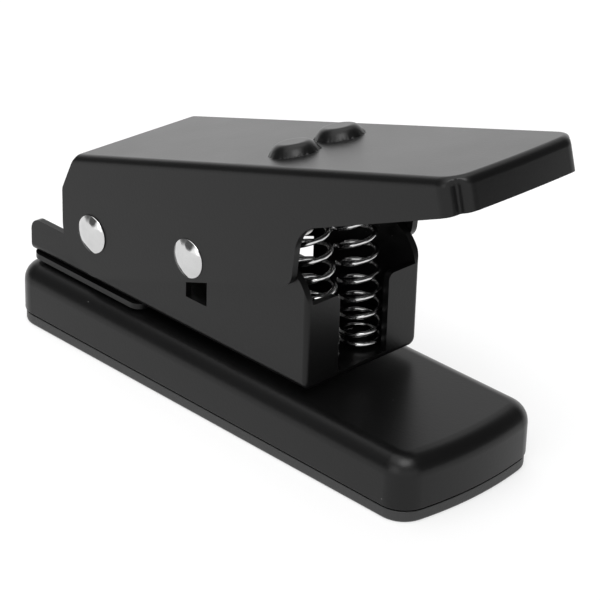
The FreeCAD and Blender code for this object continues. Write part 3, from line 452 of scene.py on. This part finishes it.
GRID_COLUMNS = 82
SKIRT = 1.6
BIT_PAST = 2 * MM
TOP_PAST = 4 * MM
LIP_PAST = 1 * MM


def smooth_step(value):
    """0 below 0, 1 above 1 and a smooth rise between."""
    value = min(1, max(0, value))
    return value * value * (3 - 2 * value)


def rounded_path(corners, steps=8):
    """Closed path through (x, z, radius) corners with true arcs at the rounded ones."""
    path = []
    for index, (x, z, radius) in enumerate(corners):
        here = Vector((x, z))
        if not radius:
            path.append(here)
            continue
        before = Vector(corners[index - 1][:2]) - here
        after = Vector(corners[(index + 1) % len(corners)][:2]) - here
        before.normalize()
        after.normalize()
        half = before.angle(after) / 2
        start = here + before * radius / sin(half) * cos(half)
        end = here + after * radius / sin(half) * cos(half)
        middle = here + (before + after).normalized() * radius / sin(half)
        first, last = start - middle, end - middle
        swing = first.angle(last)
        for step in range(steps + 1):
            part = step / steps
            path.append(middle + (first * sin(swing * (1 - part)) + last * sin(swing * part)) / sin(swing))
    return path


def prism(name, path, half):
    """Solid block with the path as its side outline, reaching half to each side."""
    mesh = bmesh.new()
    near = [mesh.verts.new((spot.x, -half, spot.y)) for spot in path]
    far = [mesh.verts.new((spot.x, half, spot.y)) for spot in path]
    mesh.faces.new(near)
    mesh.faces.new(list(reversed(far)))
    for index in range(len(path)):
        step = (index + 1) % len(path)
        mesh.faces.new((near[step], near[index], far[index], far[step]))
    bmesh.ops.recalc_face_normals(mesh, faces=mesh.faces)
    return make_object(name, mesh)


def dome_height(along, across):
    """How far the pressed domes stand above the lever's top."""
    away = sqrt((along - DOME_ALONG) ** 2 + (abs(across) - DOME_ACROSS) ** 2)
    part = min(1, max(0, (away - DOME_CROWN) / (DOME_FOOT - DOME_CROWN)))
    return DOME_TALL * (1 - part ** 2.2) * smooth_step((DOME_FOOT - away) / GRID)


def press_darts(mesh, corner_x, corner_y):
    """Presses a shallow upright dart into each front corner of the walls, fading into the bend."""
    for vert in mesh.verts:
        out = Vector((vert.co.x - corner_x, abs(vert.co.y) - corner_y))
        if out.x < 0 or out.y < 0 or out.length < LEVER_CORNER * 0.4:
            continue
        aside = (atan2(out.y, out.x) - pi / 4) * LEVER_CORNER / DART_WIDE
        depth = DART_DEEP * exp(-aside * aside) * smooth_step((LEVER_OVER - vert.co.z) / LEVER_BEND - DART_LOW)
        out = out * (1 - depth / out.length)
        vert.co.x = corner_x + out.x
        vert.co.y = copysign(corner_y + out.y, vert.co.y)


edge = LEVER_HALF - LEVER_BEND
rows_along = [DOME_ALONG - GRID_START + GRID * step for step in range(GRID_ROWS)]
mesh = bmesh.new()
outline = bowed_outline(-EYE * SKIRT, LEVER_REACH, LEVER_HALF, LEVER_BOW, LEVER_CORNER, LEVER_BEND,
                        closed=False, stations=rows_along, corner_steps=26)
top_row = add_bent_walls(mesh, outline, LEVER_OVER, LEVER_BEND, LEVER_OVER + EYE * SKIRT, False, 7)
right_side = top_row[1:1 + len(rows_along)]
left_side = list(reversed(top_row[-1 - len(rows_along):-1]))
grid = []
for right_vert, left_vert, along in zip(right_side, left_side, rows_along):
    line = [right_vert]
    for column in range(1, GRID_COLUMNS):
        across = -edge + 2 * edge * column / GRID_COLUMNS
        line.append(mesh.verts.new((along, across, LEVER_OVER + dome_height(along, across))))
    grid.append(line + [left_vert])
for here, after in zip(grid, grid[1:]):
    for column in range(GRID_COLUMNS):
        mesh.faces.new((here[column], after[column], after[column + 1], here[column + 1]))
mesh.faces.new([top_row[0]] + grid[0] + [top_row[-1]])
mesh.faces.new(list(reversed(grid[-1])) + top_row[1 + len(rows_along):-1 - len(rows_along)])
swing = (LEVER_HALF ** 2 + LEVER_BOW ** 2) / (2 * LEVER_BOW)
corner_y = LEVER_HALF - LEVER_CORNER
press_darts(mesh, LEVER_REACH - swing + sqrt((swing - LEVER_CORNER) ** 2 - corner_y ** 2), corner_y)
bmesh.ops.recalc_face_normals(mesh, faces=mesh.faces)
lever = make_object("lever_pressing", mesh)
add_wall(lever, LEVER_SHEET)
settle(lever)

fall = (EYE - DEEP_LOW) / DEEP_END
lean_sin, lean_cos = sin(LEVER_SLOPE), cos(LEVER_SLOPE)
drop = EYE * (fall * lean_cos + lean_sin + 1) / (lean_cos - fall * lean_sin)
eye_corner = (-EYE * lean_cos - drop * lean_sin, EYE * lean_sin - drop * lean_cos)
heel_corner = (-EYE * lean_cos + HEEL_TALL * lean_sin, EYE * lean_sin + HEEL_TALL * lean_cos)
high = LEVER_OVER + TOP_PAST
far = LEVER_REACH + LIP_PAST
side_path = rounded_path([
    (-TOP_BACK, high, 0), (-TOP_BACK, LEVER_OVER, 0), (*heel_corner, HEEL_ROUND),
    (*eye_corner, EYE * EYE_BLEND), (DEEP_END, -DEEP_LOW, DEEP_ROUND),
    (DEEP_END + DEEP_LEAN, LEVER_OVER - DEPTH_THROAT, THROAT_ROUND),
    (far, LEVER_OVER - DEPTH_LIP, 0), (far, high, 0)], 14)
cut(lever, prism("lever_side_block", side_path, LEVER_HALF + BIT_PAST), "INTERSECT", folded=True)


def drill_lever(along, over, radius):
    """Bores a hole across both sides of the lever."""
    circle = [Vector((along + radius * cos(2 * pi * step / 40), over + radius * sin(2 * pi * step / 40)))
              for step in range(40)]
    cut(lever, prism("bit", circle, LEVER_HALF + BIT_PAST), folded=True)


ARM_X, ARM_Z = 32.6 * MM, 5.8 * MM
PIN_RADIUS = 2.5 * MM
PIN_CLEAR = 0.05 * MM
drill_lever(0, 0, PIN_RADIUS + PIN_CLEAR)
drill_lever(ARM_X * lean_cos + ARM_Z * lean_sin, -ARM_X * lean_sin + ARM_Z * lean_cos, PIN_RADIUS)
lever.data.transform(Matrix.Translation(PIVOT) @ Matrix.Rotation(-LEVER_SLOPE, 4, "Y"))
lever.data.shade_smooth()
lever.data.set_sharp_from_angle(angle=SHARP)
soften(lever, 0.16 * MM)
lever.data.materials.clear()
lever.data.materials.append(black_paint("lever_black_paint", tone=0.003, rough=0.3, grain=0.3))
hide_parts("lever")
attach(lever, "lever")

# ------------------------------------------------------------------ sleeves on the pins
# Three plain zinc-plated tubes. The one on the pivot keeps the frame's sides apart, and the pair on
# the cross pin keeps the punch holder centred. They keep their CAD bodies.
for name in ("pivot_sleeve", "cross_pin_sleeve_left", "cross_pin_sleeve_right"):
    finish_node(name, zinc, 0.12 * MM)

# ------------------------------------------------------------------ rivets
# Two chromed solid rivets: the pivot, and the cross pin that pushes the punch. Each has a shank and
# two low domed heads with a lightly hammered face: one node group, repeated in its own place.
HEAD_TALL = 1.4 * MM


def new_group(name, inputs):
    """Empty node group with a geometry output and named inputs of (socket type, default)."""
    group = bpy.data.node_groups.new(name, "GeometryNodeTree")
    for label, (kind, value) in inputs.items():
        socket = group.interface.new_socket(name=label, in_out="INPUT", socket_type=kind)
        if value is not None:
            socket.default_value = value
    group.interface.new_socket(name="Geometry", in_out="OUTPUT", socket_type="NodeSocketGeometry")
    return group, group.nodes.new("NodeGroupInput"), group.nodes.new("NodeGroupOutput")


def math_node(group, operation, first, second=None, third=None):
    """Math node fed from sockets or numbers; returns its output."""
    node = group.nodes.new("ShaderNodeMath")
    node.operation = operation
    for socket, value in zip(node.inputs, (first, second, third)):
        if isinstance(value, bpy.types.NodeSocket):
            group.links.new(value, socket)
        elif value is not None:
            socket.default_value = value
    return node.outputs[0]


def grow(name, group, values):
    """Object grown by the node group with these input values, converted to a plain mesh."""
    piece = bpy.data.objects.new(name, bpy.data.meshes.new(name))
    bpy.context.collection.objects.link(piece)
    growth = piece.modifiers.new("growth", "NODES")
    growth.node_group = group
    for item in group.interface.items_tree:
        if item.in_out == "INPUT" and item.name in values:
            growth[item.identifier] = values[item.name]
    settle(piece)
    return piece


def rivet_group():
    """Rivet along Y: shank, and a head at each end with a crowned face."""
    group, given, result = new_group("rivet", {
        "Place": ("NodeSocketVector", (0, 0, 0)), "Shank Radius": ("NodeSocketFloat", 0.003),
        "Shank Length": ("NodeSocketFloat", 0.038), "Head Radius": ("NodeSocketFloat", 0.00475),
        "Head Height": ("NodeSocketFloat", 0.0014), "Crown": ("NodeSocketFloat", 0.0012),
        "Material": ("NodeSocketMaterial", None)})
    nodes, links = group.nodes, group.links
    head = nodes.new("GeometryNodeMeshCylinder")
    head.inputs["Vertices"].default_value = 64
    head.inputs["Fill Segments"].default_value = 10
    low = math_node(group, "SUBTRACT", given.outputs["Head Height"], given.outputs["Crown"])
    links.new(given.outputs["Head Radius"], head.inputs["Radius"])
    links.new(low, head.inputs["Depth"])
    spot = nodes.new("GeometryNodeInputPosition")
    split = nodes.new("ShaderNodeSeparateXYZ")
    links.new(spot.outputs[0], split.inputs[0])
    across = math_node(group, "SQRT", math_node(
        group, "ADD", math_node(group, "MULTIPLY", split.outputs["X"], split.outputs["X"]),
        math_node(group, "MULTIPLY", split.outputs["Y"], split.outputs["Y"])))
    part = math_node(group, "DIVIDE", across, given.outputs["Head Radius"])
    rise = math_node(group, "MULTIPLY", given.outputs["Crown"], math_node(
        group, "SUBTRACT", 1, math_node(group, "POWER", part, 2.2)))
    up = nodes.new("ShaderNodeCombineXYZ")
    links.new(rise, up.inputs["Z"])
    crown = nodes.new("GeometryNodeSetPosition")
    links.new(head.outputs["Mesh"], crown.inputs["Geometry"])
    links.new(math_node(group, "GREATER_THAN", split.outputs["Z"], 0.0), crown.inputs["Selection"])
    links.new(up.outputs[0], crown.inputs["Offset"])
    ends = nodes.new("GeometryNodeMeshLine")
    ends.mode = "END_POINTS"
    ends.inputs["Count"].default_value = 2
    reach = math_node(group, "ADD", math_node(group, "DIVIDE", given.outputs["Shank Length"], 2),
                      math_node(group, "DIVIDE", low, 2))
    for sign, label in ((-1, "Start Location"), (1, "Offset")):
        place = nodes.new("ShaderNodeCombineXYZ")
        links.new(math_node(group, "MULTIPLY", reach, sign), place.inputs["Y"])
        links.new(place.outputs[0], ends.inputs[label])
    number = nodes.new("GeometryNodeInputIndex")
    tip_over = nodes.new("ShaderNodeCombineXYZ")
    links.new(math_node(group, "SUBTRACT", pi / 2, math_node(group, "MULTIPLY", number.outputs[0], pi)),
              tip_over.inputs["X"])
    facing = nodes.new("FunctionNodeEulerToRotation")
    links.new(tip_over.outputs[0], facing.inputs[0])
    heads = nodes.new("GeometryNodeInstanceOnPoints")
    links.new(ends.outputs[0], heads.inputs["Points"])
    links.new(crown.outputs[0], heads.inputs["Instance"])
    links.new(facing.outputs[0], heads.inputs["Rotation"])
    shank = nodes.new("GeometryNodeMeshCylinder")
    shank.inputs["Vertices"].default_value = 48
    links.new(given.outputs["Shank Radius"], shank.inputs["Radius"])
    links.new(given.outputs["Shank Length"], shank.inputs["Depth"])
    lay = nodes.new("GeometryNodeTransform")
    lay.inputs["Rotation"].default_value = (pi / 2, 0, 0)
    links.new(shank.outputs["Mesh"], lay.inputs["Geometry"])
    join = nodes.new("GeometryNodeJoinGeometry")
    links.new(heads.outputs[0], join.inputs[0])
    links.new(lay.outputs[0], join.inputs[0])
    move = nodes.new("GeometryNodeTransform")
    links.new(join.outputs[0], move.inputs["Geometry"])
    links.new(given.outputs["Place"], move.inputs["Translation"])
    real = nodes.new("GeometryNodeRealizeInstances")
    links.new(move.outputs[0], real.inputs[0])
    paint = nodes.new("GeometryNodeSetMaterial")
    links.new(real.outputs[0], paint.inputs["Geometry"])
    links.new(given.outputs["Material"], paint.inputs["Material"])
    links.new(paint.outputs[0], result.inputs[0])
    return group


chrome = bare_metal("bright_chrome_plate", tone=0.6, rough=0.07, scratch=0.9, grain=(230, 230, 230),
                    relief=0.0002)
rivet_nodes = rivet_group()
for node_name, label, body in (("rear_pivot_rivet", "pivot_rivet", "base"),
                               ("front_cross_rivet", "cross_pin_rivet", "lever")):
    low, high = node_box(node_name)
    rivet = grow(label, rivet_nodes, {
        "Place": (low + high) / 2, "Shank Radius": PIN_RADIUS, "Head Radius": (high.x - low.x) / 2,
        "Shank Length": high.y - low.y - 2 * HEAD_TALL, "Head Height": HEAD_TALL, "Material": chrome})
    rivet.data.shade_smooth()
    rivet.data.set_sharp_from_angle(angle=SHARP)
    soften(rivet, 0.15 * MM, 3)
    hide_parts(node_name)
    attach(rivet, body)

# ------------------------------------------------------------------ spring seats and return springs
# Two painted pegs in the frame's floor hold the feet of the two return springs. Each spring is bright
# plated round wire, coiled along a path that stands upright on the floor and meets the lever's dome
# squarely, with closed end coils, running from the frame's floor up to the lever.
finish_node("spring_seat_left", frame_paint, 0.1 * MM)
finish_node("spring_seat_right", frame_paint, 0.1 * MM)


def spring_group():
    """Coil spring: a wire wound round a Bezier path, with close-wound end coils."""
    group, given, result = new_group("coil_spring", {
        "Foot": ("NodeSocketVector", (0, 0, 0)), "Foot Handle": ("NodeSocketVector", (0, 0, 0)),
        "Head Handle": ("NodeSocketVector", (0, 0, 0)), "Head": ("NodeSocketVector", (0, 0, 0)),
        "Coil Radius": ("NodeSocketFloat", 0.0037), "Wire Radius": ("NodeSocketFloat", 0.0006),
        "Turns": ("NodeSocketFloat", 13), "End Share": ("NodeSocketFloat", 0.028),
        "Start Angle": ("NodeSocketFloat", 0), "Samples": ("NodeSocketInt", 420),
        "Material": ("NodeSocketMaterial", None)})
    nodes, links = group.nodes, group.links
    path = nodes.new("GeometryNodeCurvePrimitiveBezierSegment")
    path.mode = "POSITION"
    path.inputs["Resolution"].default_value = 64
    links.new(given.outputs["Foot"], path.inputs["Start"])
    links.new(given.outputs["Foot Handle"], path.inputs["Start Handle"])
    links.new(given.outputs["Head Handle"], path.inputs["End Handle"])
    links.new(given.outputs["Head"], path.inputs["End"])
    line = nodes.new("GeometryNodeMeshLine")
    links.new(given.outputs["Samples"], line.inputs["Count"])
    wire = nodes.new("GeometryNodeMeshToCurve")
    links.new(line.outputs[0], wire.inputs[0])
    number = nodes.new("GeometryNodeInputIndex")
    part = math_node(group, "DIVIDE", number.outputs[0],
                     math_node(group, "SUBTRACT", given.outputs["Samples"], 1))
    one_turn = math_node(group, "DIVIDE", 1, given.outputs["Turns"])
    last_turn = math_node(group, "SUBTRACT", 1, one_turn)
    middle = math_node(group, "SUBTRACT", 1, math_node(group, "MULTIPLY", given.outputs["End Share"], 2))
    reach = None
    for start, end, share in ((0, one_turn, given.outputs["End Share"]), (one_turn, last_turn, middle),
                              (last_turn, 1, given.outputs["End Share"])):
        ramp = nodes.new("ShaderNodeMapRange")
        links.new(part, ramp.inputs["Value"])
        for socket, value in (("From Min", start), ("From Max", end), ("To Max", share)):
            if isinstance(value, bpy.types.NodeSocket):
                links.new(value, ramp.inputs[socket])
            else:
                ramp.inputs[socket].default_value = value
        reach = ramp.outputs[0] if reach is None else math_node(group, "ADD", reach, ramp.outputs[0])
    sample = nodes.new("GeometryNodeSampleCurve")
    sample.mode = "FACTOR"
    links.new(path.outputs[0], sample.inputs["Curves"])
    links.new(reach, sample.inputs["Factor"])
    side = nodes.new("ShaderNodeVectorMath")
    side.operation = "CROSS_PRODUCT"
    side.inputs[0].default_value = (0, 1, 0)
    links.new(sample.outputs["Tangent"], side.inputs[1])
    angle = math_node(group, "ADD", given.outputs["Start Angle"], math_node(
        group, "MULTIPLY", part, math_node(group, "MULTIPLY", given.outputs["Turns"], 2 * pi)))
    fore = nodes.new("ShaderNodeVectorMath")
    fore.operation = "SCALE"
    links.new(side.outputs[0], fore.inputs[0])
    links.new(math_node(group, "MULTIPLY", math_node(group, "COSINE", angle), given.outputs["Coil Radius"]),
              fore.inputs["Scale"])
    aside = nodes.new("ShaderNodeCombineXYZ")
    links.new(math_node(group, "MULTIPLY", math_node(group, "SINE", angle), given.outputs["Coil Radius"]),
              aside.inputs["Y"])
    both = nodes.new("ShaderNodeVectorMath")
    links.new(fore.outputs[0], both.inputs[0])
    links.new(aside.outputs[0], both.inputs[1])
    spot = nodes.new("ShaderNodeVectorMath")
    links.new(sample.outputs["Position"], spot.inputs[0])
    links.new(both.outputs[0], spot.inputs[1])
    wind = nodes.new("GeometryNodeSetPosition")
    links.new(wire.outputs[0], wind.inputs["Geometry"])
    links.new(spot.outputs[0], wind.inputs["Position"])
    round_wire = nodes.new("GeometryNodeCurvePrimitiveCircle")
    round_wire.inputs["Resolution"].default_value = 14
    links.new(given.outputs["Wire Radius"], round_wire.inputs["Radius"])
    skin = nodes.new("GeometryNodeCurveToMesh")
    skin.inputs["Fill Caps"].default_value = True
    links.new(wind.outputs[0], skin.inputs["Curve"])
    links.new(round_wire.outputs[0], skin.inputs["Profile Curve"])
    real = nodes.new("GeometryNodeRealizeInstances")
    links.new(skin.outputs[0], real.inputs[0])
    paint = nodes.new("GeometryNodeSetMaterial")
    links.new(real.outputs[0], paint.inputs["Geometry"])
    links.new(given.outputs["Material"], paint.inputs["Material"])
    links.new(paint.outputs[0], result.inputs[0])
    return group


def lever_spot(along, across, over):
    """Place in the shared frame of a point given in the lever's own frame."""
    return PIVOT + Vector((along * lean_cos - over * lean_sin, across, along * lean_sin + over * lean_cos))


WIRE = 0.6 * MM
COIL_RADIUS = 4.4 * MM
SPRING_TURNS = 12.2
SPRING_START = -3.5
SPRING_FOOT_X = 22.7 * MM
SPRING_FOOT_Z = 18.8 * MM
SPRING_GAP = 0.1 * MM
FOOT_PULL = 16 * MM
HEAD_PULL = 18 * MM
spring_nodes = spring_group()
spring_steel = bare_metal("bright_spring_wire", tone=0.62, rough=0.1, scratch=0.2)
for hand, across in (("left", -DOME_ACROSS), ("right", DOME_ACROSS)):
    foot = Vector((SPRING_FOOT_X, across, SPRING_FOOT_Z + WIRE))
    head_spot = lever_spot(DOME_ALONG, across, LEVER_OVER - LEVER_SHEET - WIRE - SPRING_GAP)
    down = lever_spot(DOME_ALONG, across, LEVER_OVER - HEAD_PULL)
    spring = grow("return_spring_" + hand, spring_nodes, {
        "Foot": foot, "Foot Handle": foot + Vector((0, 0, FOOT_PULL)),
        "Head Handle": down, "Head": head_spot, "Coil Radius": COIL_RADIUS, "Wire Radius": WIRE,
        "Turns": SPRING_TURNS, "Start Angle": SPRING_START, "Material": spring_steel})
    spring.data.shade_smooth()
    spring.data.set_sharp_from_angle(angle=radians(50))
    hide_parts("spring_" + hand)
    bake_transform(spring)

# ------------------------------------------------------------------ floor, light and camera
# A plain pale floor under a studio whose light changes softly with height, with darker and brighter
# patches round a few directions that the paint and the chrome mirror. The camera stands at the front,
# to one side and above.
FLOOR_SIZE = 4
FLOOR_TONE = 0.36
FLOOR_GLOW = 0.6
SKY_TONES = ((0.0, 1.38), (0.12, 1.32), (0.42, 0.86), (0.62, 0.6), (0.8, 1.9), (1.0, 2.1))
SKY_PATCHES = (((0.55, 0.6, 0.55), 0.6, 0.9, 0.12), ((0.78, 0.63, 0.0), 0.74, 0.96, 0.12),
               ((-0.86, -0.35, 0.4), 0.8, 0.97, 0.15), ((-0.54, -0.83, 0.22), 0.955, 0.985, 0.12),
               ((0.1, -0.95, 0.3), 0.93, 0.98, 2.2), ((0.31, -0.33, 0.87), 0.93, 0.975, 6.0))
VIEW_AZIMUTH = 0.7919
VIEW_HEIGHT = 0.4653
VIEW_ROLL = 0.0291
VIEW_TARGET = Vector((0.01040, 0, 0.02618))
VIEW_DISTANCE = 0.56295
VIEW_LENS = 153.73

bpy.ops.mesh.primitive_plane_add(size=FLOOR_SIZE, location=(0, 0, 0))
floor = bpy.context.active_object
floor.name = "floor"
floor_paint = bpy.data.materials.new("pale_floor")
floor_paint.use_nodes = True
floor_shader = floor_paint.node_tree.nodes["Principled BSDF"]
floor_shader.inputs["Base Color"].default_value = (FLOOR_TONE, FLOOR_TONE, FLOOR_TONE, 1)
floor_shader.inputs["Roughness"].default_value = 1
floor_shader.inputs["Specular IOR Level"].default_value = 0
floor_shader.inputs["Emission Color"].default_value = (1, 1, 1, 1)
floor_shader.inputs["Emission Strength"].default_value = FLOOR_GLOW
floor.data.materials.append(floor_paint)


def add_patch(tree, colour, aim, start, end, tone):
    """Mixes a soft-edged patch of another brightness into the studio's surroundings, round a direction."""
    nodes, links = tree.nodes, tree.links
    place = nodes.new("ShaderNodeTexCoord")
    near = nodes.new("ShaderNodeVectorMath")
    near.operation = "DOT_PRODUCT"
    near.inputs[1].default_value = Vector(aim).normalized()
    fade = nodes.new("ShaderNodeMapRange")
    fade.interpolation_type = "SMOOTHSTEP"
    fade.inputs["From Min"].default_value = start
    fade.inputs["From Max"].default_value = end
    blend = nodes.new("ShaderNodeMix")
    blend.data_type = "RGBA"
    blend.inputs["B"].default_value = (tone, tone, tone, 1)
    links.new(place.outputs["Generated"], near.inputs[0])
    links.new(near.outputs["Value"], fade.inputs["Value"])
    links.new(fade.outputs["Result"], blend.inputs["Factor"])
    links.new(colour, blend.inputs["A"])
    return blend.outputs["Result"]


world = bpy.data.worlds.new("studio")
world.use_nodes = True
sky = world.node_tree
direction = sky.nodes.new("ShaderNodeTexCoord")
height = sky.nodes.new("ShaderNodeSeparateXYZ")
sweep = sky.nodes.new("ShaderNodeValToRGB")
sweep.color_ramp.interpolation = "EASE"
stops = sweep.color_ramp.elements
for index, (spot, tone) in enumerate(SKY_TONES):
    stop = stops[index] if index < 2 else stops.new(spot)
    stop.position = spot
    stop.color = (tone, tone, tone, 1)
sky.links.new(direction.outputs["Generated"], height.inputs["Vector"])
sky.links.new(height.outputs["Z"], sweep.inputs["Fac"])
colour = sweep.outputs["Color"]
for aim, start, end, tone in SKY_PATCHES:
    colour = add_patch(sky, colour, aim, start, end, tone)
sky.links.new(colour, sky.nodes["Background"].inputs["Color"])
sky.nodes["Background"].inputs["Strength"].default_value = 1.0
bpy.context.scene.world = world
bpy.context.scene.view_settings.view_transform = "Standard"

toward = Vector((-sin(VIEW_AZIMUTH) * cos(VIEW_HEIGHT), cos(VIEW_AZIMUTH) * cos(VIEW_HEIGHT),
                 -sin(VIEW_HEIGHT)))
level = Vector((cos(VIEW_AZIMUTH), sin(VIEW_AZIMUTH), 0))
upright = level.cross(toward)
right = level * cos(VIEW_ROLL) + upright * sin(VIEW_ROLL)
up = upright * cos(VIEW_ROLL) - level * sin(VIEW_ROLL)
camera_data = bpy.data.cameras.new("camera")
camera_data.lens = VIEW_LENS
camera_data.sensor_width = 36
camera = bpy.data.objects.new("camera", camera_data)
bpy.context.collection.objects.link(camera)
turn = Matrix((right, up, -toward)).transposed().to_4x4()
camera.matrix_world = Matrix.Translation(VIEW_TARGET - toward * VIEW_DISTANCE) @ turn
bpy.context.scene.camera = camera
